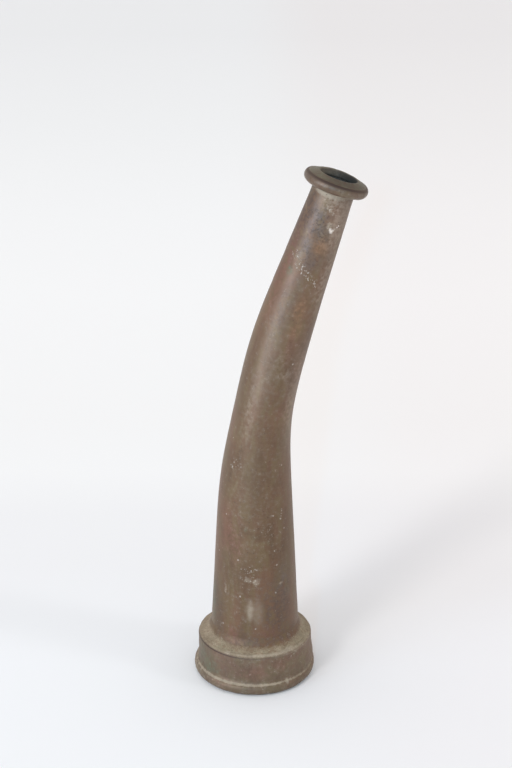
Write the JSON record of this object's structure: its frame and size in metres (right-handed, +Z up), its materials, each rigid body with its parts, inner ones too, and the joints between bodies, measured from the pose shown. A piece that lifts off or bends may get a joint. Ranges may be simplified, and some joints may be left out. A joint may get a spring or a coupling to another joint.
{
  "type": "fire hose nozzle",
  "caption": "Bent, tapered sheet-metal hose nozzle: cast coupling with an internal hose thread and washer at the foot, and a cast ring with a coned face round the mouth.",
  "frame": {"origin": "centre of the hose coupling's bottom face, on the hose thread's axis", "axes": "+Z up the coupling's axis and out of the foot of the barrel; +X is the way the barrel bends; the plane y = 0 is the plane of the bend"},
  "size_m": [0.1273, 0.0952, 0.4013],
  "materials": {
    "tarnished_copper": "worn, brown patina",
    "tarnished_brass": "worn, brown patina with verdigris",
    "old_solder": "dull, oxidised",
    "aged_rubber": "matte, aged"
  },
  "bodies": {
    "root": {"barrel": "tarnished_copper", "hose_coupling": "tarnished_brass", "tip_ring": "tarnished_brass", "hose_washer": "aged_rubber", "foot_solder_fillet": "old_solder", "tip_solder_fillet": "old_solder"}
  },
  "joints": []
}
